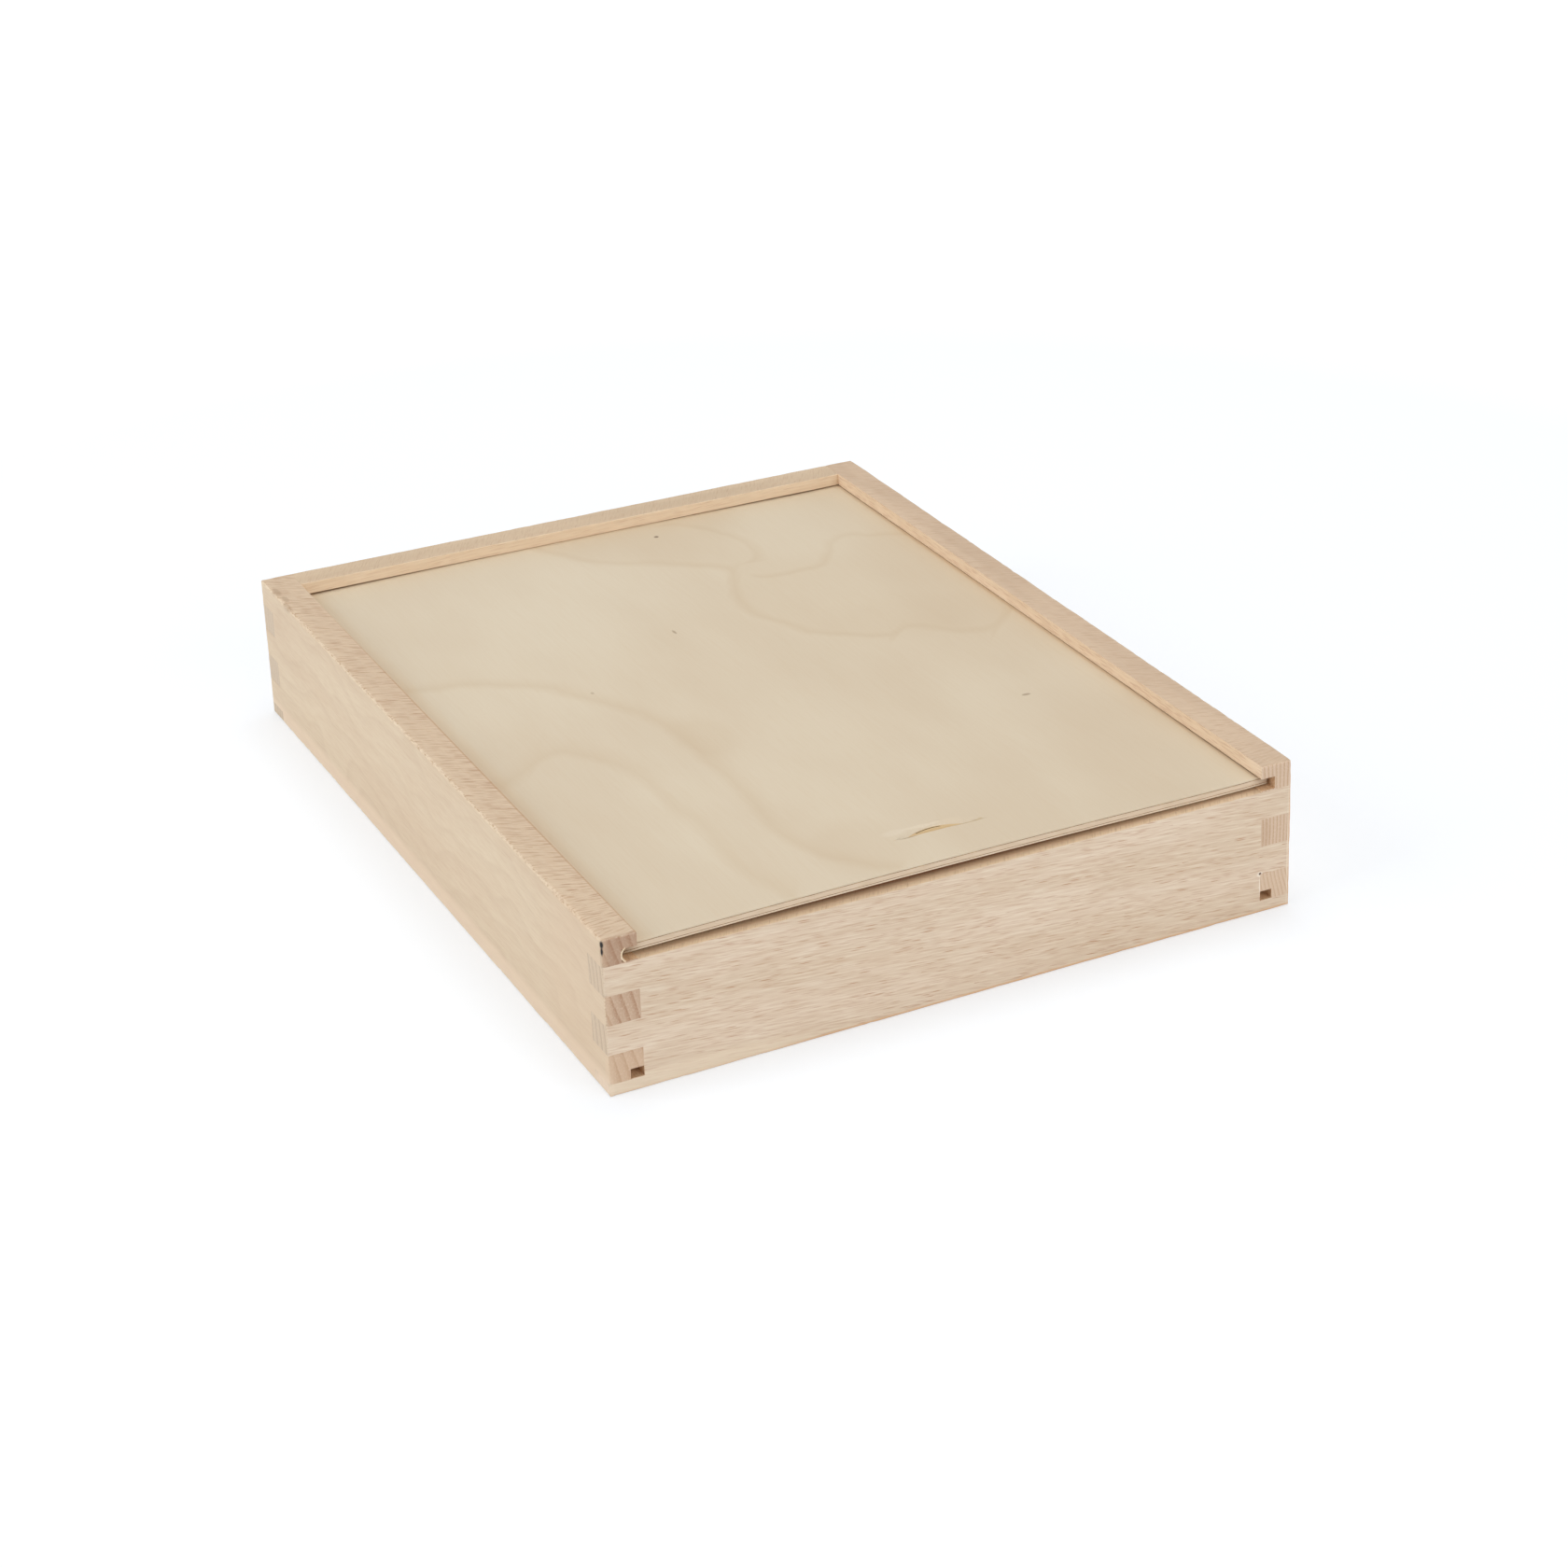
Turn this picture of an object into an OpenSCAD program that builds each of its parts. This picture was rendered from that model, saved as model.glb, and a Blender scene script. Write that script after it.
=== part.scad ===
// Flat wooden box with a sliding lid.
// Four solid boards meet in finger joints. A plywood floor lies in a groove near
// their lower edge, and a plywood lid slides in a groove near their upper edge and
// draws out over the low front board.
// The origin is the centre of the footprint, the front is towards -Y and up is +Z.

/* [Box] */
// Outer width, across the front
box_w = 244; // [160:1:340]
// Outer length, from the front face to the back face
box_l = 321; // [200:1:440]
// Outer height
box_h = 53.5; // [45:0.5:90]
// Thickness of the four boards
board_t = 11.5; // [9:0.5:16]
// Radius of the eased outer edges
ease_r = 0.6; // [0.2:0.1:1.5]

/* [Finger joints] */
// Height of the lowest finger of the front board
low_finger_h = 4.3; // [3:0.1:8]
// Pairs of fingers above the lowest one, at each corner
finger_pairs = 2; // [1:1:4]

/* [Plywood] */
// Thickness of the plywood in the lid and the floor
ply_t = 3.1; // [2.5:0.1:4]
// Thickness of each face veneer of the plywood
veneer_t = 0.7; // [0.4:0.05:1]

/* [Lid and its groove] */
// Wood left above the lid groove
lip_h = 4.5; // [3:0.1:8]
// Depth of the lid groove in the side and back boards
lid_groove_d = 5.1; // [3:0.1:7]
// Free height above the lid in its groove
lid_rise = 1.2; // [0.3:0.1:2]
// Gap between each side of the lid and the bottom of its groove
lid_side_gap = 1.3; // [0.3:0.1:2]
// Gap behind the closed lid
lid_back_gap = 0.3; // [0.1:0.1:2]
// Distance of the closed lid's front edge behind the front face
lid_setback = 2.8; // [0:0.1:8]
// Drop of the front board's top edge below the floor of the lid groove
ledge_drop = 0.4; // [0.1:0.1:1]

/* [Floor groove] */
// Depth of the floor groove in all four boards
floor_groove_d = 4.5; // [3:0.1:7]
// Height of the floor groove above the front board's lowest finger
floor_lift = 0.2; // [0:0.1:3]
// Free height above the floor panel in its groove
floor_rise = 0.2; // [0.1:0.1:0.6]
// Gap between each edge of the floor panel and the bottom of its groove
floor_gap = 0.5; // [0.1:0.1:1.5]

/* [Thumb notch] */
// Width of the notch along its front wall
notch_w = 30; // [16:1:40]
// Length of the notch's ramp, from the back to the front wall
notch_run = 6.5; // [5:0.1:12]
// Depth of the notch at its front wall
notch_depth = 1.4; // [1:0.1:2]
// Distance of the notch's front wall from the lid's front edge
notch_inset = 18.3; // [8:0.1:50]
// Distance of the notch to the right of the lid's centre line
notch_shift = 1.5; // [-10:0.5:10]

/* [Hidden] */

// How far a cut runs past the wood that it leaves
overrun = 2;

// Plywood: two face veneers round a core
core_t = ply_t - 2 * veneer_t;

// Levels of the lid groove, measured down from the top edge
lid_groove_h = ply_t + lid_rise;
lid_groove_z = box_h - lip_h - lid_groove_h;

// The front board stops just below the lid groove, so the lid passes over it
front_h = lid_groove_z - ledge_drop;

// Fingers fill the front board above its lowest one, about 10 mm each
finger_h = (front_h - low_finger_h) / (2 * finger_pairs);

// Levels of the floor groove, in the lowest finger of the side boards
floor_groove_h = ply_t + floor_rise;
floor_groove_z = low_finger_h + floor_lift;

// Inside of the box
inner_w = box_w - 2 * board_t;
inner_l = box_l - 2 * board_t;
front_y = -box_l / 2;
back_y = box_l / 2;

// Floor panel, which fills its groove but for a gap all round
floor_w = inner_w + 2 * (floor_groove_d - floor_gap);
floor_l = inner_l + 2 * (floor_groove_d - floor_gap);

// Lid panel, from its setback to the bottom of the back board's groove
lid_w = inner_w + 2 * (lid_groove_d - lid_side_gap);
lid_front_y = front_y + lid_setback;
lid_back_y = back_y - board_t + lid_groove_d - lid_back_gap;
lid_l = lid_back_y - lid_front_y;

// Thumb notch: a round scoop on a ramp that ends at an upright wall
notch_slope = atan(notch_depth / notch_run);
notch_r = (notch_w * notch_w / 4 + notch_depth * notch_depth) / (2 * notch_depth);
notch_y = lid_front_y + notch_inset;

// Roundness of the eased edges and of the wide scoop
edge_fn = 48;
scoop_fn = 360;

// Height of the finger boundary number k above the underside
function level(k) = low_finger_h + k * finger_h;

// Block that lies between two corners
module block(low, high) {
    translate(low) cube(high - low);
}

// Rectangle about the origin with rounded corners
module round_rect(w, d) {
    square([w - 2 * ease_r, d], center = true);
    square([w, d - 2 * ease_r], center = true);
    for (sx = [-1, 1], sy = [-1, 1])
        translate([sx * (w / 2 - ease_r), sy * (d / 2 - ease_r)])
            circle(r = ease_r, $fn = edge_fn);
}

// The whole outside of the box, with all its edges eased
module outside() {
    intersection() {
        linear_extrude(box_h)
            round_rect(box_w, box_l);
        translate([0, back_y, box_h / 2])
            rotate([90, 0, 0])
                linear_extrude(box_l)
                    round_rect(box_w, box_h);
        translate([-box_w / 2, 0, box_h / 2])
            rotate([90, 0, 90])
                linear_extrude(box_w)
                    round_rect(box_l, box_h);
    }
}

// Slot through both ends of a front or back board, for the side boards' fingers
module end_slots(board_y, z0, z1) {
    for (s = [-1, 1]) {
        outer_x = s * (box_w / 2 + overrun);
        inner_x = s * inner_w / 2;
        block([min(outer_x, inner_x), board_y - overrun, z0],
              [max(outer_x, inner_x), board_y + board_t + overrun, z1]);
    }
}

// Slots that pair with all side fingers below the top one
module low_end_slots(board_y) {
    for (j = [0 : finger_pairs - 1])
        end_slots(board_y, level(2 * j), level(2 * j + 1));
}

// Slot through both ends of the left side board, for the other boards' fingers
module side_slots(z0, z1) {
    for (s = [-1, 1]) {
        outer_y = s * (box_l / 2 + overrun);
        inner_y = s * inner_l / 2;
        block([-box_w / 2 - overrun, min(outer_y, inner_y), z0],
              [-inner_w / 2 + overrun, max(outer_y, inner_y), z1]);
    }
}

// Left side board: full height, both grooves run out at both of its ends
module side_board() {
    color("#DDC9B1")
    intersection() {
        outside();
        difference() {
            block([-box_w / 2, front_y, 0], [-inner_w / 2, back_y, box_h]);
            side_slots(-overrun, low_finger_h);
            for (j = [1 : finger_pairs])
                side_slots(level(2 * j - 1), level(2 * j));
            // Lid groove
            block([-inner_w / 2 - lid_groove_d, front_y - overrun, lid_groove_z],
                  [-inner_w / 2 + overrun, back_y + overrun, lid_groove_z + lid_groove_h]);
            // Floor groove
            block([-inner_w / 2 - floor_groove_d, front_y - overrun, floor_groove_z],
                  [-inner_w / 2 + overrun, back_y + overrun, floor_groove_z + floor_groove_h]);
        }
    }
}

module left_side_board() {
    side_board();
}

module right_side_board() {
    mirror([1, 0, 0]) side_board();
}

// Front board: low, so that the lid can slide over its top edge
module front_board() {
    inner_y = front_y + board_t;
    color("#D7C2AB")
    intersection() {
        outside();
        difference() {
            block([-box_w / 2, front_y, 0], [box_w / 2, inner_y, front_h]);
            low_end_slots(front_y);
            // Floor groove
            block([-box_w / 2 - overrun, inner_y - floor_groove_d, floor_groove_z],
                  [box_w / 2 + overrun, inner_y + overrun, floor_groove_z + floor_groove_h]);
        }
    }
}

// Back board: full height between the side boards' top fingers
module back_board() {
    inner_y = back_y - board_t;
    color("#D7C2AB")
    intersection() {
        outside();
        difference() {
            block([-box_w / 2, inner_y, 0], [box_w / 2, back_y, box_h]);
            low_end_slots(inner_y);
            end_slots(inner_y, front_h, box_h + overrun);
            // Lid groove
            block([-box_w / 2 - overrun, inner_y - overrun, lid_groove_z],
                  [box_w / 2 + overrun, inner_y + lid_groove_d, lid_groove_z + lid_groove_h]);
            // Floor groove
            block([-box_w / 2 - overrun, inner_y - overrun, floor_groove_z],
                  [box_w / 2 + overrun, inner_y + floor_groove_d, floor_groove_z + floor_groove_h]);
        }
    }
}

// One layer of the floor panel, which rests on the lower wall of its groove
module floor_layer(z, t) {
    block([-floor_w / 2, -floor_l / 2, floor_groove_z + z],
          [floor_w / 2, floor_l / 2, floor_groove_z + z + t]);
}

module floor_bottom_veneer() {
    color("#D9C8AE") floor_layer(0, veneer_t);
}

module floor_core_ply() {
    color("#C9A883") floor_layer(veneer_t, core_t);
}

module floor_top_veneer() {
    color("#DACAB2") floor_layer(veneer_t + core_t, veneer_t);
}

// One layer of the lid panel, which rests on the lower wall of its groove
module lid_layer(z, t) {
    block([-lid_w / 2, lid_front_y, lid_groove_z + z],
          [lid_w / 2, lid_back_y, lid_groove_z + z + t]);
}

// Round cut on a ramp: deepest at the front wall, where it is cut off upright
module thumb_scoop() {
    ramp = notch_run / cos(notch_slope);
    intersection() {
        translate([notch_shift, notch_y, lid_groove_z + ply_t - notch_depth])
            rotate([notch_slope, 0, 0])
                translate([0, -overrun, notch_r])
                    rotate([-90, 0, 0])
                        cylinder(r = notch_r, h = ramp + 2 * overrun, $fn = scoop_fn);
        block([notch_shift - notch_w, notch_y, lid_groove_z],
              [notch_shift + notch_w, notch_y + notch_run + overrun, lid_groove_z + ply_t + overrun]);
    }
}

module lid_bottom_veneer() {
    color("#D9C8AE") lid_layer(0, veneer_t);
}

module lid_core_ply() {
    color("#C9A883")
    difference() {
        lid_layer(veneer_t, core_t);
        thumb_scoop();
    }
}

module lid_top_veneer() {
    color("#DACAB2")
    difference() {
        lid_layer(veneer_t + core_t, veneer_t);
        thumb_scoop();
    }
}

left_side_board();
right_side_board();
front_board();
back_board();
floor_bottom_veneer();
floor_core_ply();
floor_top_veneer();
lid_bottom_veneer();
lid_core_ply();
lid_top_veneer();
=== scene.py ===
import math

import bmesh
import bpy
from mathutils import Matrix, Vector, noise


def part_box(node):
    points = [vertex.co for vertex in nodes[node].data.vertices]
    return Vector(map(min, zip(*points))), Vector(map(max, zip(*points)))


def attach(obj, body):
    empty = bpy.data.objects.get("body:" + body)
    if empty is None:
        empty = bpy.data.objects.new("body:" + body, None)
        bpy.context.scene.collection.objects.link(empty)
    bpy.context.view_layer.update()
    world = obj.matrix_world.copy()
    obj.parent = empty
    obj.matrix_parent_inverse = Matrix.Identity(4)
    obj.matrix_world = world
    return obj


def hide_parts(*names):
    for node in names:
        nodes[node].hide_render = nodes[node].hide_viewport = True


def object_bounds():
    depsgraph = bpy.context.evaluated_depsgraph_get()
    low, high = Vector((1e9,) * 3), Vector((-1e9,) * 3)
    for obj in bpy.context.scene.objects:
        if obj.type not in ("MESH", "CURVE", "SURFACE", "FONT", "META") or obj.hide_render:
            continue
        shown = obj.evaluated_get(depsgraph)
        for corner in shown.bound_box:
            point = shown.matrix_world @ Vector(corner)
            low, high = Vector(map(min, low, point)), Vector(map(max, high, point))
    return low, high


# Flat wooden box with a sliding lid: four beech boards in finger joints, a plywood
# floor in its groove and a plywood lid that slides out over the low front board.
# Lengths are in metres, and MM turns a length in millimetres into metres. Patterns
# are drawn in millimetres, because each material scales its coordinates up by PER_MM.

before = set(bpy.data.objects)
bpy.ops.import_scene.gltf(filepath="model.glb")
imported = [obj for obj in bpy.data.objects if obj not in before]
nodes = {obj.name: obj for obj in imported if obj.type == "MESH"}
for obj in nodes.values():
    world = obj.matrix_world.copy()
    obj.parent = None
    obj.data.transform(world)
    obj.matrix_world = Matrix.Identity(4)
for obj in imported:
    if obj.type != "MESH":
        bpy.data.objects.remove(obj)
cad_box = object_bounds()
MM = 0.001
PER_MM = 1000.0

# Sizes that the frame gives
box_low, box_high = cad_box
lid_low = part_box("lid_bottom_veneer")[0]
lid_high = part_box("lid_top_veneer")[1]
lid_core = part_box("lid_core_ply")
floor_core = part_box("floor_core_ply")
inner_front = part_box("front_board")[1].y
inner_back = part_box("back_board")[0].y
inner_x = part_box("right_side_board")[0].x
front_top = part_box("front_board")[1].z

# The same in millimetres, for the places of marks: the outer faces of the box, the side
# boards' inner faces and the front board's top edge
LEFT, FRONT, FOOT = box_low * PER_MM
RIGHT, BACK, TOP = box_high * PER_MM
INNER = inner_x * PER_MM
LEDGE = front_top * PER_MM

# Ease of the boards' outer edges, of their sawn edges and of the lips round the opening
OUTER_EASE = 0.6 * MM
SAWN_EASE = 0.12 * MM
LIP_EASE = 0.35 * MM

# Points nearer than WELD are one point. An edge folded by less than FLAT_FOLD is no edge,
# and one folded by more than SHARP_FOLD is sharp.
WELD = 0.001 * MM
FLAT_FOLD = math.radians(1)
SHARP_FOLD = math.radians(60)

# Segments across a rounded edge and across a chamfered one
ROUNDED = 3
CHAMFERED = 1

# How deep inside a board the browner wood of its routed grooves starts; its warmer tone also paints the
# shade in them
ROUTED_DEPTH = 1 * MM

# Wear of the outer arrises, which sanding left uneven: the length of its waves and of its
# nicks, how much they add to the arris, from which height of the noise a nick shows, a
# shift that keeps the nicks apart from the waves, and how many times its drawn radius the
# arris has, more at the top left
WAVE = 9 * MM
WAVE_DEPTH = 0.45
NICK = 2.2 * MM
NICK_DEPTH = 1.2
NICK_START = 0.2
NICK_SHIFT = Vector((7, 3, 1))
WORN_RADIUS = 1.15
WORN_TOP_LEFT = 2.1

# The boards are cut at these stations, so that the wear has points to move. The first and
# the last station lie FLAT_MARGIN inside the board's ends.
STATION = 2.0 * MM
FLAT_MARGIN = 2.2 * MM

# Middle of the chip at the top of the front left arris, in millimetres. Its hollow is not modelled; its
# shade is painted.
CHIP = Vector((LEFT + 0.1, FRONT + 0.1, TOP - 2.5))

# Bow of the plywood lid: where its crown runs, how far that lies above the flat lid at the
# front and at the back, how much lower the lid would be one metre aside of it, with the
# square of the distance, how far the middle of its length rises, and how far its right edge
# turns up, over the last 3 cm. The lid is cut in strips so that it can bend.
CROWN_X_FRONT = -22 * MM
CROWN_X_BACK = 0 * MM
CROWN_LIFT_FRONT = 1.65 * MM
CROWN_LIFT_BACK = 1.15 * MM
FALL_FRONT = 0.075
FALL_BACK = 0.055
MID_LIFT_LEFT = 0.3 * MM
MID_LIFT_RIGHT = 0.2 * MM
UPTURN_START = 84 * MM
UPTURN = 0.5 * MM
BEND_STEP_ACROSS = 8 * MM
BEND_STEP_ALONG = 24 * MM

# Radius of a panel's sanded top front arris, half the width of a glue line, and how far
# from a panel's sides every sloped face belongs to the thumb notch
LID_ARRIS = 0.4 * MM
GLUE_LINE = 0.1 * MM
NOTCH_MARGIN = 5 * MM

# The height of a face's normal: that of a face that lies flat is over FLAT, and that of a
# chamfer is between these two
FLAT = 0.999
CHAMFER = (0.5, 0.9)

# Band of torn fibres that curls round the left end of the lid groove: its thickness, its
# length into the groove, how far it stands proud of the front, its radius, its middle,
# which is halfway up the groove near its left wall, half of its arc and its steps
BURR_WALL = 0.5 * MM
BURR_LENGTH = 4 * MM
BURR_PROUD = 0.04 * MM
BURR_RADIUS = 2.7 * MM
BURR_CENTRE = Vector((box_low.x + 9 * MM, box_low.y + BURR_LENGTH / 2 - BURR_PROUD,
                      lid_low.z + 2.15 * MM))
BURR_HALF_ANGLE = math.radians(60)
BURR_STEPS = 24

# Refractive index of bare wood
WOOD_IOR = 1.5

# Patterns of the beech, each in units per millimetre through the board, along its grain and
# up it. Sizes below are those of one unit.
RING_BEND = (0.02, 0.02, 0.03)  # Slow bend of the growth rings, 50 mm long and 33 mm high
FLECKS = (0.05, 0.15, 1.9)  # Ray flecks on the wide faces, 7 mm long and 0.5 mm high
STREAKS = (0.1, 0.09, 2.4)  # Softer streaks under the flecks, 11 mm long and 0.4 mm high
FIBRES = (2.2, 0.1, 2.2)  # Fibres, 10 mm long and 0.5 mm thick, coarser than real ones
TONES = (0.08, 0.01, 0.08)  # Slow changes of tone, 100 mm long and 12 mm high
EDGE_RAYS = (0.2, 1.8, 0.3)  # Rays across the top and lower edges, 5 mm long and 0.6 mm wide
EDGE_STREAKS = (0.16, 1.6, 0.3)  # Softer streaks under them, 6 mm long and 0.6 mm wide
PORES = (2.0, 0.2, 1.4)  # Pores in the end grain, 0.5 to 0.7 mm, coarser than real ones
RAGS = (1.6, 0.45, 1.6)  # Ragged wear along the arrises, 2 mm long and 0.6 mm wide

# How far the rings bend at most, in millimetres
RING_BEND_MM = 9.0

# The rays on an edge lean by so many millimetres along the board for each one across it:
# by FRONT_LEAN at the front end and by BACK_LEAN behind it. The lean turns between two
# places in millimetres from the board's middle.
FRONT_LEAN = -0.2
BACK_LEAN = 0.55
LEAN_TURNS = (-160.0, -110.0)

# Patterns of the plywood and of torn wood in the same units, but along the box's own axes
FIGURE_SWAY = (0.07, 0.05, 0.07)  # Sway of the drawn growth lines, 14 by 20 mm
VENEER_TONES = (0.02, 0.008, 0.02)  # Slow changes of tone, 50 mm wide and 125 mm long
VENEER_FIBRES = (2.0, 0.06, 2.0)  # Fibres, 0.5 mm wide and 17 mm long
FREE_FIGURE = (0.014, 0.005, 0.014)  # Free growth figure, 71 mm wide and 200 mm long
CORE_STREAKS = (0.2, 0.9, 1.5)  # Streaks of the sawn core, 5 mm on the front edge
GLUE_BREAKS = (0.3, 0.3, 0.3)  # Breaks in the glue line, every 3 mm
TORN_STRANDS = (3.0, 0.8, 1.2)  # Strands of torn and routed beech, about 1 mm long

# How far the drawn growth lines sway, the band on both sides of a line over which its tone
# changes and half the length over which its ends fade, all in millimetres
SWAY_MM = 5.0
FIGURE_BAND = 20
FIGURE_FADE = 2

# How many lines the free growth figure has from its pattern's lowest value to its highest
FREE_LINES = 7.0

# Growth figure on the lid's top veneer, drawn one by one: each line has the direction in
# degrees along which it runs on, how dark it is, how dark the wood stays on its far side,
# and its places in millimetres from the box's centre
FIGURE_LINES = (
    (-45, 0.52, 0.16, ((-114, 50), (-94, 45), (-84, 41), (-74, 35), (-64, 27), (-59, 17), (-52, 5),
                       (-46, -7), (-41, -25), (-39, -43), (-39, -63), (-40, -87), (-42, -113),
                       (-39, -131), (-32, -143), (-20, -158))),
    (-30, 0.40, 0.05, ((-112, -42), (-99, -35), (-92, -30), (-85, -25), (-79, -25), (-73, -32),
                       (-68, -42), (-64, -55), (-63, -77), (-62, -99), (-63, -119), (-62, -135),
                       (-56, -158))),
    (-38, 0.65, 0.36, ((-20, 154), (-12, 134), (-4, 123), (6, 115), (16, 110), (26, 101), (35, 93),
                       (33, 81), (28, 67), (27, 55), (29, 41), (34, 29), (40, 20), (50, 13), (60, 6),
                       (70, 10), (78, 3), (88, -4), (96, -5), (104, 1), (113, 8))),
    (-90, 0.70, 0.00, ((28, 147), (38, 141), (46, 132), (51, 123), (53, 111), (52, 101), (48, 95),
                       (41, 92))),
    (0, 0.72, 0.00, ((40, 83), (46, 77), (56, 76), (66, 77), (72, 82), (77, 89), (84, 98), (90, 100),
                     (98, 95), (112, 87))),
)

# Small marks on the boards. Each has its centre and its half lengths in millimetres, its
# colour and its strength.
RIGHT_ARRIS_MARKS = (
    # A pale line inside the front right arris and an orange one on it
    ((RIGHT - 1, FRONT, 20), (0.35, 2, 30), "#F3E3CB", 0.45),
    ((RIGHT - 0.3, FRONT, 26), (0.5, 2, 40), "#DD9F66", 0.45),
)
LEFT_MARKS = (
    # Paler end grain in the low front finger, and darker in the top one
    ((LEFT + 6, FRONT, 5), (22, 4, 15), "#E8C9A8", 0.35),
    ((LEFT + 6, FRONT, TOP - 4.5), (20, 2, 9), "#8F6548", 0.35),
    # Stains on the top near the back
    ((LEFT + 1.4, BACK - 14.5, TOP), (1.8, 5, 3), "#8A6A4E", 0.4),
    ((LEFT + 2.1, BACK - 22.5, TOP), (1.4, 4, 3), "#8A6A4E", 0.35),
    ((LEFT + 0.6, BACK - 29.5, TOP), (1.2, 6, 3), "#8A6A4E", 0.35),
    # Painted shade near the front of the outer face, darker and pinker, and painted light along its foot
    ((LEFT, FRONT + 10.5, 27), (3, 50, 50), "#DCC0A2", 0.35),
    ((LEFT, 0, FOOT + 2), (2, 400, 7), "#EED6BC", 0.6),
    # Painted shade of the gap between the lid and the lip, as a brown line along the top's inner arris
    ((-INNER, -45, TOP), (0.8, 205, 0.8), "#A87F56", 0.55),
    # The chip's hollow as painted shade, near black: a wide oval over a narrow one
    (CHIP + Vector((0, 0, 1)), (0.95, 0.95, 1.8), "#140C08", 1.0),
    (CHIP - Vector((0, 0, 1.2)), (0.7, 0.7, 2.0), "#140C08", 1.0),
)
RIGHT_MARKS = (
    # Paler end grain in the low front finger, and the darker inner side of the middle one
    ((RIGHT - 6, FRONT, 5), (22, 4, 15), "#EACFB0", 0.2),
    ((INNER + 1.8, FRONT, 29), (2.6, 2, 7), "#A9825F", 0.2),
    *RIGHT_ARRIS_MARKS,
)
FRONT_MARKS = (
    # Pale end grain of the lowest finger, at the left side
    ((LEFT, FRONT + 5.5, FOOT + 2), (3, 9, 4), "#F0D9C0", 0.8),
    # The top edge: painted warm shade under the lid, in brown, and a painted highlight before it
    ((0, FRONT + 9, LEDGE + 0.2), (180, 6, 0.5), "#A8603A", 0.95),
    ((0, FRONT + 3.3, LEDGE + 0.3), (400, 2.2, 0.5), "#F4D0AC", 0.8),
    # The lower arris, warm with some wear and with painted shade, and the paler left of the foot
    ((0, FRONT + 0.1, FOOT + 0.2), (400, 1, 1.1), "#DDAE7E", 0.7),
    ((LEFT + 22, FRONT, FOOT + 2), (60, 1, 5), "#EDDAC0", 0.6),
    *RIGHT_ARRIS_MARKS,
    # The filled pip at the right joint: its pale halo, the pale line under it and itself
    ((INNER - 0.2, FRONT, 14.3), (1.4, 1, 1.2), "#F6EADA", 0.7),
    ((INNER - 0.2, FRONT, 10), (0.3, 1, 4), "#F6EADA", 0.7),
    ((INNER - 0.1, FRONT, 14.5), (0.65, 1, 0.6), "#5A3A28", 1.0),
)

# Marks on the lid in the same way, but without their heights, which are the same for all
# and take in the whole bowed face
LID_LEVEL = 48.5
LID_REACH = 9
LID_MARKS = (
    # Painted warm shade in strips along the left, the right and the back edge, where the lid runs under
    # the lips
    ((-110, 0), (9, 400), "#D0AC7C", 0.2),
    ((114.3, 0), (6.5, 400), "#BE9160", 0.55),
    ((0, 153.8), (400, 6.5), "#BE9160", 0.55),
    # Wide patches, a little darker or paler than the face
    ((-33, -40), (13, 23), "#BDA37F", 0.15),
    ((-50, 98), (85, 75), "#E0D9C6", 0.1),
    ((74, 115), (34, 42), "#E0D9C6", 0.12),
    ((90, -12), (42, 48), "#C4AE90", 0.22),
    ((70, 18), (42, 25), "#C4AE90", 0.15),
    ((95, -120), (45, 60), "#C4AE90", 0.15),
    ((-100, -100), (22, 70), "#C4AE90", 0.15),
    ((-24, -138), (20, 26), "#C4AE90", 0.2),
    # Pale fibres at the thumb notch, and the painted shadow of its front wall as brown lines
    ((-11, -134.5), (6, 2.5), "#E8DECF", 0.15),
    ((-2, -134.2), (9, 1), "#E8DCC6", 0.2),
    ((-8.5, -139.6), (4, 0.6), "#8A6F4C", 0.6),
    ((13, -139.5), (8, 0.6), "#A98F66", 0.7),
    ((17.5, -139), (1.2, 0.8), "#B59A6C", 0.4),
    # Pips
    ((25.6, 135), (1.2, 1.2), "#6E553C", 0.9),
    ((-6, 47), (0.7, 2.4), "#8A7050", 0.6),
    ((-52, 13), (0.8, 1.2), "#8A7050", 0.4),
    ((77, -63), (2.2, 1.1), "#84694A", 0.6),
)

# Painted light on the front edge of the lid's lowest ply, against the shade of the ledge under it, and a
# darker tan laid over the plies cut by the notch
PLAIN_MARKS = (((0, FRONT + 2.5, 46), (400, 1.5, 3), "#F2E0C8", 0.5),)
NOTCH_MARKS = (((1.5, -137, LID_LEVEL), (30, 14, LID_REACH), "#C8AA7C", 1.0),)

# Camera, fitted to the box's corners in the photo: its place in millimetres in the frame's
# own axes, how far it looks to the right and down and its roll in degrees, and its lens and
# sensor in millimetres. The image is 1680 pixels square.
CAMERA_PLACE = Vector((-452.611, -1016.3, 548.988)) * MM
CAMERA_AZIMUTH = 29.2204
CAMERA_ELEVATION = 22.9727
CAMERA_ROLL = 0.549
CAMERA_LENS = 79.975
CAMERA_SHIFT = (-0.15962, -0.12172)
SENSOR_WIDTH = 36

# What the camera sees lies between these two, in metres
CLIP_START = 0.05
CLIP_END = 30

# Studio light: large softboxes at the left, at the front and overhead, and an even room,
# each softbox with its place in metres and its power in watts
SOFTBOX_SIZE = 1.6
SOFTBOXES = (
    ("left_softbox", (-1.75, 0.15, 0.85), 17.2),
    ("front_softbox", (0.5, -2.0, 0.75), 18.6),
    ("overhead_softbox", (0.3, 0.35, 2.1), 19.4),
)
ROOM_STRENGTH = 0.4

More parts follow.
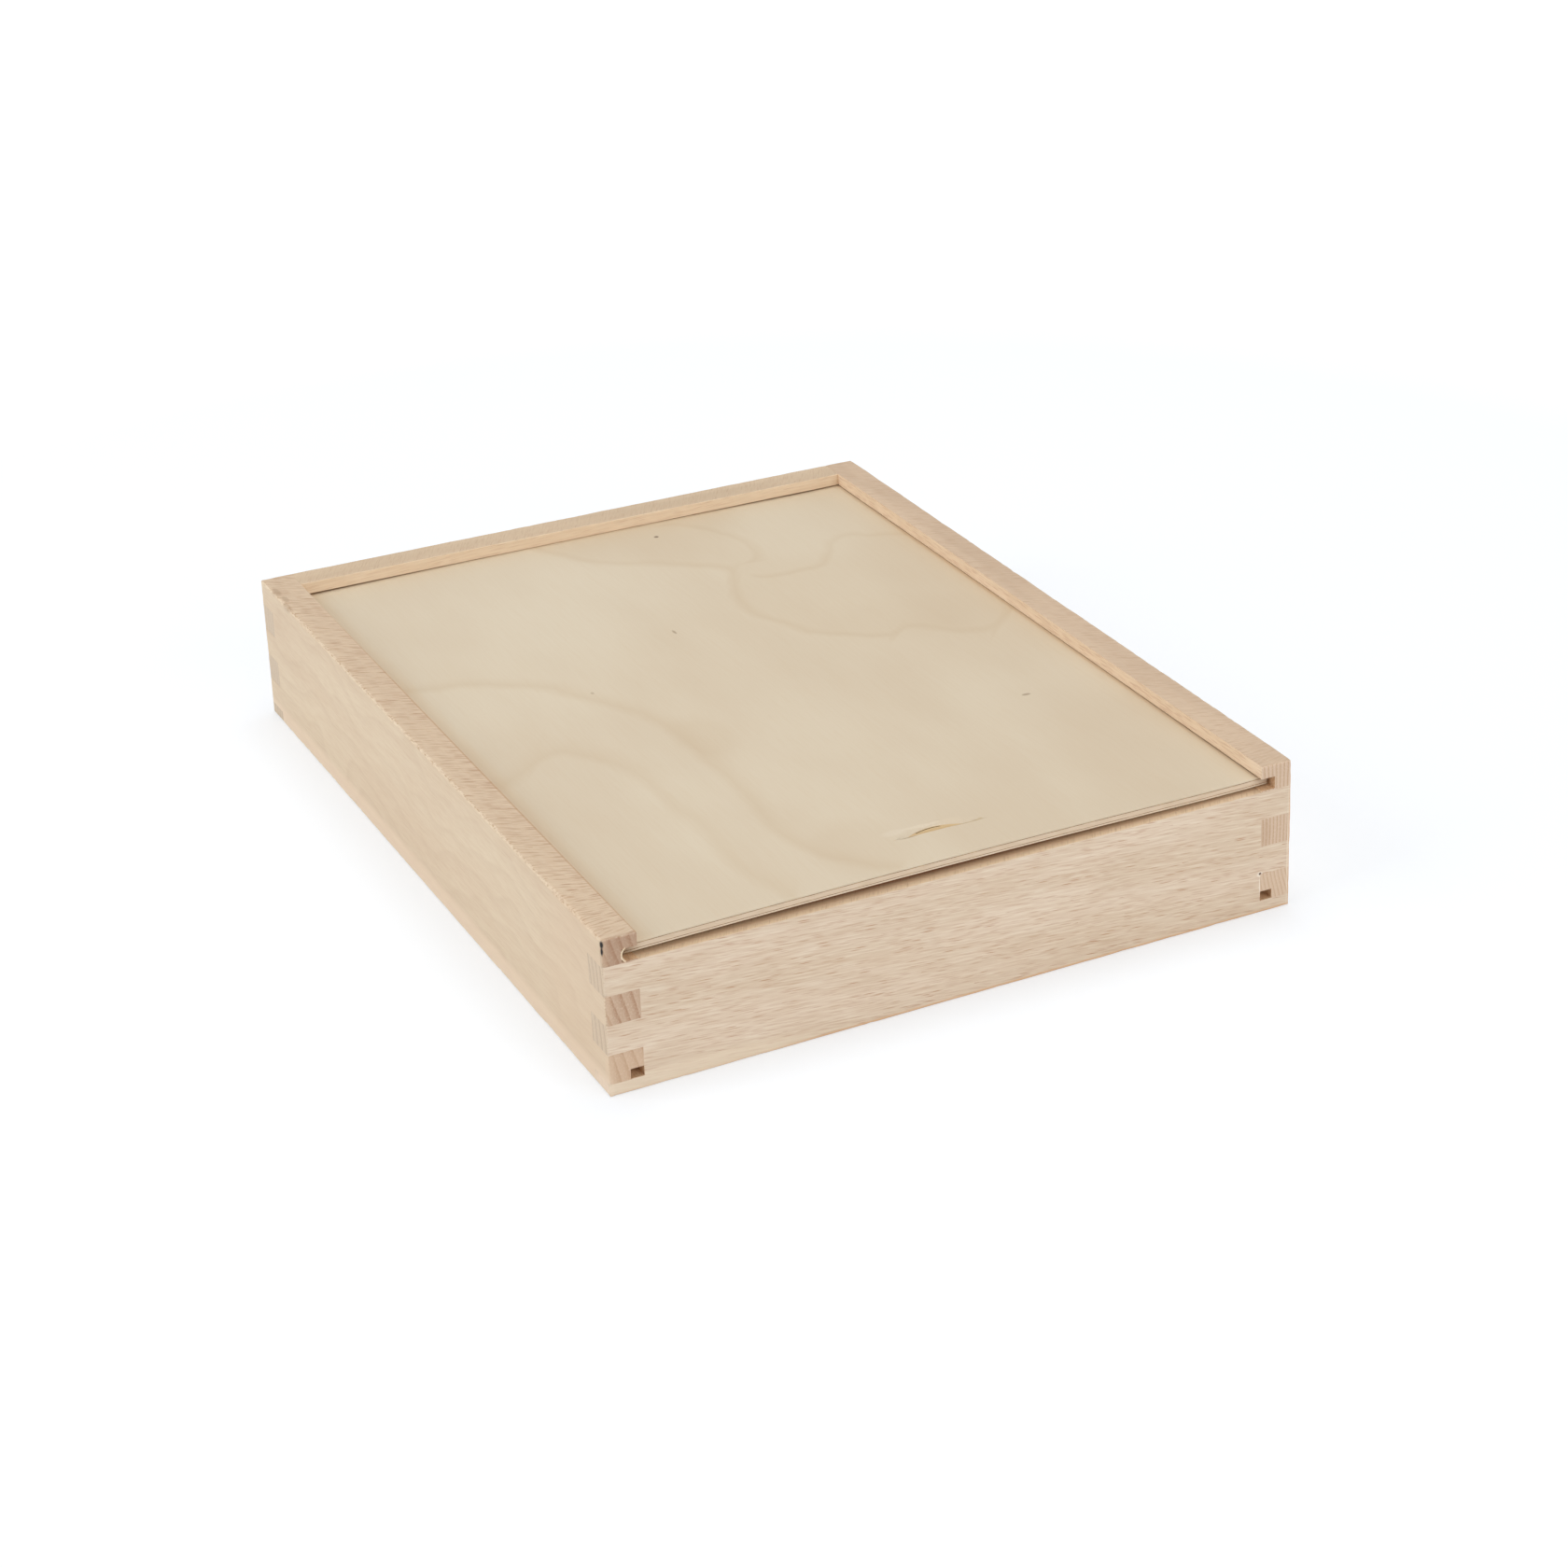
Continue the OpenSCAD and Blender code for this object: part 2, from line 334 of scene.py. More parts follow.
# The floor reaches FLOOR_HALF metres from its middle. It glows only where the camera sees
# it, directly, mirrored or through glass: weakly near the box, where it keeps the shadow,
# and fully from GLOW_END on, in metres from the middle.
FLOOR_HALF = 6
FLOOR_GLOW = 0.33
GLOW_STRENGTH = 1.48
GLOW_START = 0.5
GLOW_END = 1.2


def linear(hex_colour):
    """The linear RGBA of an sRGB hex colour such as #D7C2AB."""
    value = hex_colour.lstrip("#")
    channels = [int(value[i:i + 2], 16) / 255 for i in (0, 2, 4)]
    return [c / 12.92 if c <= 0.04045 else ((c + 0.055) / 1.055) ** 2.4 for c in channels] + [1.0]


def add(tree, kind, inputs=None, stops=(), points=(), **settings):
    """Adds a node and returns its first live output. inputs gives each socket a value, a
    hex colour or an output to link; stops are the places and greys of a colour ramp, and
    points those of a float curve."""
    node = tree.nodes.new(kind)
    for name, value in settings.items():
        setattr(node, name, value)
    for socket, value in (inputs or {}).items():
        if isinstance(value, bpy.types.NodeSocket):
            tree.links.new(value, node.inputs[socket])
        else:
            node.inputs[socket].default_value = linear(value) if isinstance(value, str) else value
    if stops:
        elements = node.color_ramp.elements
        while len(elements) < len(stops):
            elements.new(1.0)
        for element, (place, grey) in zip(elements, stops):
            element.position = place
            element.color = (grey, grey, grey, 1)
    if points:
        curve = node.mapping.curves[0].points
        while len(curve) < len(points):
            curve.new(0.5, 0.5)
        for point, place in zip(curve, points):
            point.location = place
        node.mapping.update()
    return next((output for output in node.outputs if output.enabled), None)


def new_material(name):
    """An empty material: itself, its tree and its place in millimetres."""
    material = bpy.data.materials.new(name)
    material.use_nodes = True
    tree = material.node_tree
    tree.nodes.clear()
    metres = add(tree, "ShaderNodeTexCoord").node.outputs["Object"]
    place = add(tree, "ShaderNodeVectorMath", {0: metres, "Scale": PER_MM}, operation="SCALE")
    return material, tree, place


def bare_wood(tree, colour, roughness, height=None, bump=0.0, depth=0.0):
    """Ends a material as wood with no finish on it, its fibres raised where height says."""
    inputs = {"Base Color": colour, "Roughness": roughness, "IOR": WOOD_IOR}
    if height is not None:
        inputs["Normal"] = add(tree, "ShaderNodeBump", {
            "Height": height, "Strength": bump, "Distance": depth})
    shader = add(tree, "ShaderNodeBsdfPrincipled", inputs)
    add(tree, "ShaderNodeOutputMaterial", {"Surface": shader})


def uneven(tree, place, per_mm, detail, roughness=0.5):
    """An uneven pattern from 0 to 1, with so many units per millimetre along each axis.
    detail adds finer layers to it, and roughness says how strong they are."""
    units = add(tree, "ShaderNodeVectorMath", {0: place, 1: per_mm}, operation="MULTIPLY")
    return add(tree, "ShaderNodeTexNoise", {
        "Vector": units, "Scale": 1.0, "Detail": detail, "Roughness": roughness})


def scattered(tree, place, per_mm, share):
    """Long thin marks of uneven strength, on this share of the cells of a pattern."""
    units = add(tree, "ShaderNodeVectorMath", {0: place, 1: per_mm}, operation="MULTIPLY")
    cells = add(tree, "ShaderNodeTexVoronoi", {"Vector": units, "Scale": 1.0}).node.outputs
    chance = add(tree, "ShaderNodeSeparateColor", {0: cells["Color"]})
    strength = add(tree, "ShaderNodeMapRange", {
        "Value": chance, "From Min": 1 - share, "From Max": 1.0}, interpolation_type="SMOOTHSTEP")
    inside = add(tree, "ShaderNodeMapRange", {
        "Value": cells["Distance"], "From Min": 0.55, "From Max": 0.25}, interpolation_type="SMOOTHSTEP")
    return add(tree, "ShaderNodeMath", {0: inside, 1: strength}, operation="MULTIPLY")


def tinted(tree, colour, tint, pattern, strength=1.0, span=None):
    """Lays a tint over a colour as far as a pattern says. A span gives the pattern's values
    where the tint starts and where it is full, with a smooth step between them."""
    start, full = span or (0.0, 1.0)
    amount = add(tree, "ShaderNodeMapRange", {
        "Value": pattern, "From Min": start, "From Max": full, "To Max": strength},
        interpolation_type="SMOOTHSTEP" if span else "LINEAR")
    return add(tree, "ShaderNodeMix", {0: amount, 6: colour, 7: tint}, data_type="RGBA")


def marked(tree, place, colour, marks):
    """Paints small oval marks: each has its centre and half lengths in millimetres, its
    colour and its strength."""
    for centre, halves, mark_colour, strength in marks:
        offset = add(tree, "ShaderNodeVectorMath", {0: place, 1: centre}, operation="SUBTRACT")
        scaled = add(tree, "ShaderNodeVectorMath", {0: offset, 1: halves}, operation="DIVIDE")
        reach = add(tree, "ShaderNodeVectorMath", {0: scaled}, operation="LENGTH")
        colour = tinted(tree, colour, mark_colour, reach, strength, (1.0, 0.45))
    return colour


def board_place(tree, place, node):
    """A board's own place in millimetres: from its middle, turned so that Y runs along its
    grain. Also the box's axis along which the grain runs."""
    low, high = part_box(node)
    across = high.x - low.x > high.y - low.y
    middle = (low + high) / 2 * PER_MM
    board = add(tree, "ShaderNodeVectorMath", {0: place, 1: middle}, operation="SUBTRACT")
    turn = math.radians(90) if across else 0
    board = add(tree, "ShaderNodeMapping", {"Vector": board, "Rotation": (0, 0, turn)})
    return board, "X" if across else "Y"


def late_wood(tree, place, board, rings, tilt):
    """Where the late wood of the growth rings is. The rings have a spacing in millimetres
    and a slant in degrees, tilt turns them with the flecks, and a slow pattern bends them."""
    spacing, slant = rings
    bend = uneven(tree, place, RING_BEND, 1.0)
    bend = add(tree, "ShaderNodeMath", {0: bend, 1: RING_BEND_MM}, operation="MULTIPLY")
    bend = add(tree, "ShaderNodeCombineXYZ", {"X": bend, "Z": bend})
    bent = add(tree, "ShaderNodeVectorMath", {0: board, 1: bend}, operation="ADD")
    slanted = add(tree, "ShaderNodeMapping", {
        "Vector": bent, "Rotation": (math.radians(tilt), math.radians(slant), 0)})
    ring = add(tree, "ShaderNodeSeparateXYZ", {0: slanted})
    ring = add(tree, "ShaderNodeMath", {0: ring, 1: spacing}, operation="DIVIDE")
    ring = add(tree, "ShaderNodeMath", {0: ring}, operation="FRACT")
    return add(tree, "ShaderNodeValToRGB", {0: ring}, stops=[
        (0.0, 0.0), (0.45, 0.2), (0.86, 1.0), (0.96, 0.0)])


def leaning_place(tree, board):
    """A board's place, skewed so that the rays on its edges lean one way, and the other way
    over the last 5 cm before the front."""
    axes = add(tree, "ShaderNodeSeparateXYZ", {0: board}).node.outputs
    lean = add(tree, "ShaderNodeMapRange", {
        "Value": axes["Y"], "From Min": LEAN_TURNS[0], "From Max": LEAN_TURNS[1],
        "To Min": FRONT_LEAN, "To Max": BACK_LEAN})
    along = add(tree, "ShaderNodeMath", {0: axes["X"], 1: lean, 2: axes["Y"]}, operation="MULTIPLY_ADD")
    return add(tree, "ShaderNodeCombineXYZ", {"X": axes["X"], "Y": along, "Z": axes["Z"]})


def planed_beech(name, node, tones, rings, tilt, rays, edge_lines, torn, marks=()):
    """Bare beech, sawn flat from the log, planed and sanded: a smooth, dull, pinkish tan.
    Its wide faces carry short brown ray flecks along the grain, about 5 x 0.4 mm, its edges
    show the rays from the side as thin lines across it, and its end grain is darker, with
    the growth rings. tones are the wide face, its darker streaks, the edge, and the end
    grain's early and late wood. rings are the rings' spacing in millimetres and their slant
    in degrees, tilt is the flecks' slope on the wide face in degrees, and rays, edge_lines
    and torn say how strongly each of these shows."""
    face_hex, streak_hex, edge_hex, early_hex, late_hex = tones
    material, tree, place = new_material(name)
    board, grain_axis = board_place(tree, place, node)
    late = late_wood(tree, place, board, rings, tilt)
    fibre = uneven(tree, board, FIBRES, 3.0, 0.6)
    slow = uneven(tree, board, TONES, 2.0)

    # Wide face: ray flecks, with softer streaks under them
    sloped = add(tree, "ShaderNodeMapping", {"Vector": board, "Rotation": (math.radians(tilt), 0, 0)})
    fleck = scattered(tree, sloped, FLECKS, 0.85)
    weave = uneven(tree, sloped, STREAKS, 1.0, 0.6)
    face = tinted(tree, face_hex, streak_hex, slow, 1.0, (0.35, 0.65))
    face = tinted(tree, face, late_hex, late, 0.1)
    face = tinted(tree, face, "#F4E8D4", weave, 0.3 * rays, (0.5, 0.7))
    face = tinted(tree, face, "#B98F6A", weave, 0.28 * rays, (0.5, 0.25))
    face = tinted(tree, face, "#AC7048", fleck, 0.8 * rays)

    # Edge: rays seen from the side
    leaning = leaning_place(tree, board)
    edge_line = scattered(tree, leaning, EDGE_RAYS, 0.75)
    edge_weave = uneven(tree, leaning, EDGE_STREAKS, 2.0, 0.6)
    edge = tinted(tree, edge_hex, streak_hex, slow, 0.3, (0.3, 0.7))
    edge = tinted(tree, edge, "#A98160", edge_weave, 0.6 * edge_lines, (0.5, 0.3))
    edge = tinted(tree, edge, "#E2CBAE", edge_weave, 0.3 * edge_lines, (0.52, 0.7))
    edge = tinted(tree, edge, "#966C4C", edge_line, 0.65 * edge_lines)

    # End grain: rings and pores
    pores = uneven(tree, board, PORES, 2.0)
    end = tinted(tree, early_hex, late_hex, late)
    end = tinted(tree, end, "#E3CFB6", pores, 0.3, (0.45, 0.7))

    # Each of the three where the surface faces its way, with fibres over them all
    normal = add(tree, "ShaderNodeNewGeometry").node.outputs["Normal"]
    normal = add(tree, "ShaderNodeVectorMath", {0: normal}, operation="ABSOLUTE")
    facing = add(tree, "ShaderNodeSeparateXYZ", {0: normal}).node.outputs
    colour = tinted(tree, face, edge, facing["Z"], 1.0, (0.6, 0.8))
    colour = tinted(tree, colour, end, facing[grain_axis], 1.0, (0.6, 0.8))
    colour = tinted(tree, colour, "#C4A17E", fibre, 0.15, (0.35, 0.7))

    # Torn fibres along the arrises, pale and partly a painted highlight, with dark nicks between them
    flattest = add(tree, "ShaderNodeMath", {0: facing["X"], 1: facing["Y"]}, operation="MAXIMUM")
    flattest = add(tree, "ShaderNodeMath", {0: flattest, 1: facing["Z"]}, operation="MAXIMUM")
    arris = add(tree, "ShaderNodeMapRange", {
        "Value": flattest, "From Min": 0.99, "From Max": 0.85}, interpolation_type="SMOOTHSTEP")
    ragged = uneven(tree, board, RAGS, 4.0, 0.7)
    frayed_highlight = add(tree, "ShaderNodeMapRange", {
        "Value": ragged, "From Min": 0.42, "From Max": 0.6}, interpolation_type="SMOOTHSTEP")
    frayed_highlight = add(tree, "ShaderNodeMath", {0: frayed_highlight, 1: arris}, operation="MULTIPLY")
    nicked = add(tree, "ShaderNodeMapRange", {
        "Value": ragged, "From Min": 0.46, "From Max": 0.38}, interpolation_type="SMOOTHSTEP")
    nicked = add(tree, "ShaderNodeMath", {0: nicked, 1: arris}, operation="MULTIPLY")
    colour = tinted(tree, colour, "#F0E0C8", frayed_highlight, 0.4 * torn)
    colour = tinted(tree, colour, "#B08E6A", nicked, 0.7 * torn)
    colour = marked(tree, place, colour, marks)

    height = add(tree, "ShaderNodeMath", {0: fleck, 1: -0.6 * rays, 2: fibre}, operation="MULTIPLY_ADD")
    height = add(tree, "ShaderNodeMath", {0: nicked, 1: -2 * torn, 2: height}, operation="MULTIPLY_ADD")
    roughness = add(tree, "ShaderNodeMapRange", {"Value": fibre, "To Min": 0.55, "To Max": 0.7})
    bare_wood(tree, colour, roughness, height, 0.3, 0.06 * MM)
    return material


def line_distance(tree, place, run_angle, points):
    """Signed distance in millimetres from a drawn line, and 1 within its length."""
    run = math.radians(run_angle)
    run_axis = (math.cos(run), math.sin(run), 0)
    side_axis = (-math.sin(run), math.cos(run), 0)
    places = [(Vector((*p, 0)).dot(run_axis), Vector((*p, 0)).dot(side_axis)) for p in points]
    run_low, run_high = places[0][0], places[-1][0]
    side_low, side_high = min(s for r, s in places), max(s for r, s in places)
    shares = [((r - run_low) / (run_high - run_low), (s - side_low) / (side_high - side_low))
              for r, s in places]
    along = add(tree, "ShaderNodeVectorMath", {0: place, 1: run_axis}, operation="DOT_PRODUCT")
    aside = add(tree, "ShaderNodeVectorMath", {0: place, 1: side_axis}, operation="DOT_PRODUCT")
    # The line's offset here and one millimetre ahead, which give its slope
    sides = []
    for step in (0.0, 1.0):
        ahead = add(tree, "ShaderNodeMapRange", {
            "Value": along, "From Min": run_low - step, "From Max": run_high - step})
        curve = add(tree, "ShaderNodeFloatCurve", {"Value": ahead}, points=shares)
        sides.append(add(tree, "ShaderNodeMapRange", {
            "Value": curve, "To Min": side_low, "To Max": side_high}, clamp=False))
    slope = add(tree, "ShaderNodeMath", {0: sides[1], 1: sides[0]}, operation="SUBTRACT")
    slope = add(tree, "ShaderNodeMath", {0: slope, 1: slope, 2: 1.0}, operation="MULTIPLY_ADD")
    reach = add(tree, "ShaderNodeMath", {0: slope}, operation="SQRT")
    gap = add(tree, "ShaderNodeMath", {0: aside, 1: sides[0]}, operation="SUBTRACT")
    distance = add(tree, "ShaderNodeMath", {0: gap, 1: reach}, operation="DIVIDE")
    started = add(tree, "ShaderNodeMapRange", {
        "Value": along, "From Min": run_low - FIGURE_FADE, "From Max": run_low + FIGURE_FADE},
        interpolation_type="SMOOTHSTEP")
    ended = add(tree, "ShaderNodeMapRange", {
        "Value": along, "From Min": run_high + FIGURE_FADE, "From Max": run_high - FIGURE_FADE},
        interpolation_type="SMOOTHSTEP")
    return distance, add(tree, "ShaderNodeMath", {0: started, 1: ended}, operation="MULTIPLY")


def lid_figure(tree, place):
    """How dark the growth figure is on the lid's top: soft tan lines about 6 mm wide, with
    the wood on each one's far side a little darker."""
    total = None
    for run_angle, line_dark, far_dark, points in FIGURE_LINES:
        distance, within = line_distance(tree, place, run_angle, points)
        spread = add(tree, "ShaderNodeMapRange", {
            "Value": distance, "From Min": -FIGURE_BAND, "From Max": FIGURE_BAND})
        tone = add(tree, "ShaderNodeValToRGB", {0: spread}, stops=[
            (0.0, 0.0), (0.38, 0.0), (0.5, line_dark), (0.6, 0.5 * line_dark), (0.8, 0.0)])
        beyond = add(tree, "ShaderNodeValToRGB", {0: spread}, stops=[(0.42, 0.0), (0.62, far_dark)])
        tone = add(tree, "ShaderNodeMath", {0: tone, 1: within}, operation="MULTIPLY")
        tone = add(tree, "ShaderNodeMath", {0: tone, 1: beyond}, operation="MAXIMUM")
        total = tone if total is None else add(
            tree, "ShaderNodeMath", {0: total, 1: tone}, operation="MAXIMUM")
    return total


def free_figure(tree, place):
    """A growth figure of the same kind with no drawn lines, for the hidden faces."""
    waves = uneven(tree, place, FREE_FIGURE, 1.0)
    waves = add(tree, "ShaderNodeMath", {0: waves, 1: FREE_LINES}, operation="MULTIPLY")
    waves = add(tree, "ShaderNodeMath", {0: waves}, operation="FRACT")
    return add(tree, "ShaderNodeValToRGB", {0: waves}, stops=[
        (0.0, 0.4), (0.25, 0.15), (0.8, 0.0), (0.9, 0.0), (1.0, 0.4)])


def peeled_veneer(name, figure, seed, marks):
    """Beech face veneer, peeled round the log and finely sanded: paler and smoother than
    the boards, with soft tan growth lines and very fine streaks along the grain, 0.5 mm
    apart. figure draws its growth lines, and seed is how far its patterns are shifted, in
    millimetres."""
    material, tree, place = new_material(name)
    shifted = add(tree, "ShaderNodeVectorMath", {0: place, 1: (seed, seed, seed)}, operation="ADD")
    sway = uneven(tree, shifted, FIGURE_SWAY, 2.0)
    sway = add(tree, "ShaderNodeMath", {0: sway, 1: SWAY_MM, 2: -SWAY_MM / 2}, operation="MULTIPLY_ADD")
    sway = add(tree, "ShaderNodeCombineXYZ", {"X": sway, "Y": sway})
    swayed = add(tree, "ShaderNodeVectorMath", {0: place, 1: sway}, operation="ADD")
    slow = uneven(tree, shifted, VENEER_TONES, 2.0)
    fibre = uneven(tree, shifted, VENEER_FIBRES, 3.0, 0.6)
    colour = tinted(tree, "#D4C6AE", "#CFBFA6", slow, 1.0, (0.35, 0.65))
    colour = tinted(tree, colour, "#BDA37F", figure(tree, swayed), 0.6)
    colour = tinted(tree, colour, "#C9B08F", fibre, 0.16, (0.35, 0.75))
    colour = marked(tree, place, colour, marks)
    roughness = add(tree, "ShaderNodeMapRange", {"Value": fibre, "To Min": 0.48, "To Max": 0.62})
    bare_wood(tree, colour, roughness, fibre, 0.15, 0.04 * MM)
    return material


def sawn_core(name, marks):
    """Core veneer of the plywood, its grain across the lid, sawn through at the edges: pale
    with short tan streaks along the cut, about 5 mm long on the front edge."""
    material, tree, place = new_material(name)
    streaks = uneven(tree, place, CORE_STREAKS, 2.0)
    colour = tinted(tree, "#DCC7AE", "#D5BEA2", streaks, 1.0, (0.35, 0.7))
    colour = marked(tree, place, colour, marks)
    bare_wood(tree, colour, 0.7, streaks, 0.2, 0.05 * MM)
    return material


def glue_line(name, marks):
    """Cured glue and crushed fibre between two plies: a thin brown line, broken here and
    there by paler wood."""
    material, tree, place = new_material(name)
    breaks = uneven(tree, place, GLUE_BREAKS, 3.0)
    colour = tinted(tree, "#8E6440", "#BC9468", breaks, 1.0, (0.4, 0.7))
    colour = marked(tree, place, colour, marks)
    bare_wood(tree, colour, 0.5)
    return material


def torn_beech(name, light, dark):
    """Beech fibres rubbed brown or torn by the cutter: matt, with fine streaks. In the routed grooves its
    browner tone also paints their warm shade.
    """
    material, tree, place = new_material(name)
    strands = uneven(tree, place, TORN_STRANDS, 3.0)
    colour = tinted(tree, light, dark, strands, 1.0, (0.3, 0.7))
    bare_wood(tree, colour, 0.8, strands, 0.6, 0.15 * MM)
    return material


def seen_or_mirrored(tree):
    """1 for what the camera sees directly, mirrored or through glass, and otherwise 0."""
    path = add(tree, "ShaderNodeLightPath").node.outputs
    seen = add(tree, "ShaderNodeMath", {0: path["Is Camera Ray"], 1: path["Is Glossy Ray"]},
               operation="MAXIMUM")
    return add(tree, "ShaderNodeMath", {0: seen, 1: path["Is Transmission Ray"]}, operation="MAXIMUM")


def white_paper():
    """Smooth matt paper under the box: white to the camera but for the box's shadow."""
    material, tree, place = new_material("white_paper")
    matt = add(tree, "ShaderNodeBsdfDiffuse", {"Color": "#E3E8EE"})
    glow = add(tree, "ShaderNodeEmission", {"Color": "#FFFFFF", "Strength": GLOW_STRENGTH})
    away = add(tree, "ShaderNodeVectorMath", {0: place}, operation="LENGTH")
    amount = add(tree, "ShaderNodeMapRange", {
        "Value": away, "From Min": GLOW_START * PER_MM, "From Max": GLOW_END * PER_MM,
        "To Min": FLOOR_GLOW, "To Max": 1.0})
    amount = add(tree, "ShaderNodeMath", {0: seen_or_mirrored(tree), 1: amount}, operation="MULTIPLY")
    both = add(tree, "ShaderNodeMixShader", {0: amount, 1: matt, 2: glow})
    add(tree, "ShaderNodeOutputMaterial", {"Surface": both})
    return material


def whole_copy(node):
    """A copy of a CAD node's mesh with its triangles joined to whole flat faces."""
    bm = bmesh.new()
    bm.from_mesh(nodes[node].data)
    bmesh.ops.remove_doubles(bm, verts=bm.verts, dist=WELD)
    bmesh.ops.dissolve_limit(bm, angle_limit=FLAT_FOLD, verts=bm.verts, edges=bm.edges)
    return bm


def add_piece(bm, name, body, replaced, slot, *materials):
    """Makes an object of a mesh, which rides on a body and may stand for a CAD node."""
    mesh = bpy.data.meshes.new(name)
    bm.to_mesh(mesh)
    bm.free()
    for material in materials:
        mesh.materials.append(material)
    mesh.shade_smooth()
    mesh.set_sharp_from_angle(angle=SHARP_FOLD)
    piece = bpy.data.objects.new(name, mesh)
    bpy.context.scene.collection.objects.link(piece)
    piece.modifiers.new("even_shading", "WEIGHTED_NORMAL").keep_sharp = True
    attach(piece, body)
    if replaced:
        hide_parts(replaced)
    return piece


def cut_across(bm, axis, place):
    """Cuts the faces of a mesh along one plane square to an axis."""
    point = Vector((0, 0, 0))
    point[axis] = place
    normal = Vector((0, 0, 0))
    normal[axis] = 1
    bmesh.ops.bisect_plane(bm, geom=bm.verts[:] + bm.edges[:] + bm.faces[:], dist=WELD,
                           plane_co=point, plane_no=normal)


def cut_in_strips(bm, axis, low, high, step):
    """Cuts the faces of a mesh along evenly spaced planes from one place to another, so
    that it can bend or wear between them."""
    count = max(1, round((high - low) / step))
    for k in range(count + 1):
        cut_across(bm, axis, low + (high - low) * k / count)


def round_edges(bm, radius, segments, chosen):
    """Rounds the sharp edges that chosen picks by their middle."""
    sharp = [e for e in bm.edges if len(e.link_faces) == 2 and e.calc_face_angle() > SHARP_FOLD
             and chosen((e.verts[0].co + e.verts[1].co) / 2)]
    bmesh.ops.bevel(bm, geom=sharp, offset=radius, offset_type="OFFSET", segments=segments,
                    profile=0.5, affect="EDGES", material=-1, clamp_overlap=True)


def on_opening(place):
    """True on the top arrises round the box's opening, and on the front board's front one."""
    level = min(abs(place.z - box_high.z), abs(place.z - front_top)) < WELD
    between = inner_front - WELD < place.y < inner_back + WELD
    beside = abs(place.x) < inner_x + WELD
    front_edge = abs(place.y - box_low.y) < 2 * WELD and abs(place.x) < inner_x
    return level and (between and beside or front_edge)


def worn_radius(place):
    """How many times its drawn radius an outer arris has at a place: uneven, with nicks."""
    wave = noise.noise(place / WAVE)
    nick = max(0.0, noise.noise(place / NICK + NICK_SHIFT) - NICK_START)
    top_left = place.x < 0 and place.z > box_high.z - OUTER_EASE and abs(place.y) < box_high.y - OUTER_EASE
    return (WORN_TOP_LEFT if top_left else WORN_RADIUS) * (1 + WAVE_DEPTH * wave + NICK_DEPTH * nick)


def wear_arrises(bm):
    """Widens and narrows the rounding of the outer arrises."""
    for v in bm.verts:
        corner = Vector([math.copysign(box_high.x, v.co.x), math.copysign(box_high.y, v.co.y),
                         box_high.z if v.co.z > box_high.z / 2 else 0.0])
        near = [abs(v.co[k] - corner[k]) < OUTER_EASE + WELD for k in range(3)]
        if sum(near) < 2:
            continue
        on_edge = Vector([corner[k] if near[k] else v.co[k] for k in range(3)])
        scale = worn_radius(on_edge)
        for k in range(3):
            if near[k]:
                v.co[k] = corner[k] + (v.co[k] - corner[k]) * scale


def worn_board(node, name, slot, wood, groove_wood_and_shade):
    """A board with softly rounded lips, eased sawn edges, worn outer arrises and browner wood in its
    grooves, which lie deeper than its outside. That wood's warm tone also paints the shade in the grooves."""
    bm = whole_copy(node)
    # A side board's inner arris is a lip only as far as the back board
    cut_across(bm, 1, inner_back)
    round_edges(bm, LIP_EASE, ROUNDED, on_opening)
    round_edges(bm, SAWN_EASE, CHAMFERED, lambda place: True)
    low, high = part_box(node)
    for axis in range(3):
        cut_in_strips(bm, axis, low[axis] + FLAT_MARGIN, high[axis] - FLAT_MARGIN, STATION)
    wear_arrises(bm)
    for face in bm.faces:
        middle = face.calc_center_median()
        depth = min(min(middle[k] - low[k], high[k] - middle[k]) for k in range(3))
        face.material_index = 1 if depth > ROUTED_DEPTH else 0
    return add_piece(bm, name, "box", node, slot, wood, groove_wood_and_shade)


def groove_burr():
    """Torn fibres that curl round the left end of the lid groove: a flat strip at the left
    of the curl's centre, spun about it from half its arc above to half its arc below."""
    bm = bmesh.new()
    bmesh.ops.create_grid(bm, x_segments=1, y_segments=1, size=0.5)
    strip = Matrix.Diagonal((BURR_WALL, BURR_LENGTH, 1, 1))
    start = Matrix.Translation(BURR_CENTRE - Vector((BURR_RADIUS, 0, 0)))
    bmesh.ops.transform(bm, verts=bm.verts, matrix=start @ strip)
    bmesh.ops.rotate(bm, verts=bm.verts, cent=BURR_CENTRE,
                     matrix=Matrix.Rotation(BURR_HALF_ANGLE, 3, "Y"))
    bmesh.ops.spin(bm, geom=bm.verts[:] + bm.edges[:] + bm.faces[:], cent=BURR_CENTRE,
                   axis=(0, 1, 0), angle=-2 * BURR_HALF_ANGLE, steps=BURR_STEPS)
    bmesh.ops.recalc_face_normals(bm, faces=bm.faces)
    return bm


def lid_lift(place):
    """How far the bowed lid lies above the flat one at a place."""
    along = (place.y - lid_low.y) / (lid_high.y - lid_low.y)
    across = (place.x - lid_low.x) / (lid_high.x - lid_low.x)
    crown = CROWN_LIFT_FRONT + (CROWN_LIFT_BACK - CROWN_LIFT_FRONT) * along
    fall = FALL_FRONT + (FALL_BACK - FALL_FRONT) * along
    middle = MID_LIFT_LEFT + (MID_LIFT_RIGHT - MID_LIFT_LEFT) * across
    crown_x = CROWN_X_FRONT + (CROWN_X_BACK - CROWN_X_FRONT) * along
    upturn = UPTURN * max(0.0, (place.x - UPTURN_START) / (lid_high.x - UPTURN_START)) ** 2
    return crown - fall * (place.x - crown_x) ** 2 + middle * 4 * along * (1 - along) + upturn


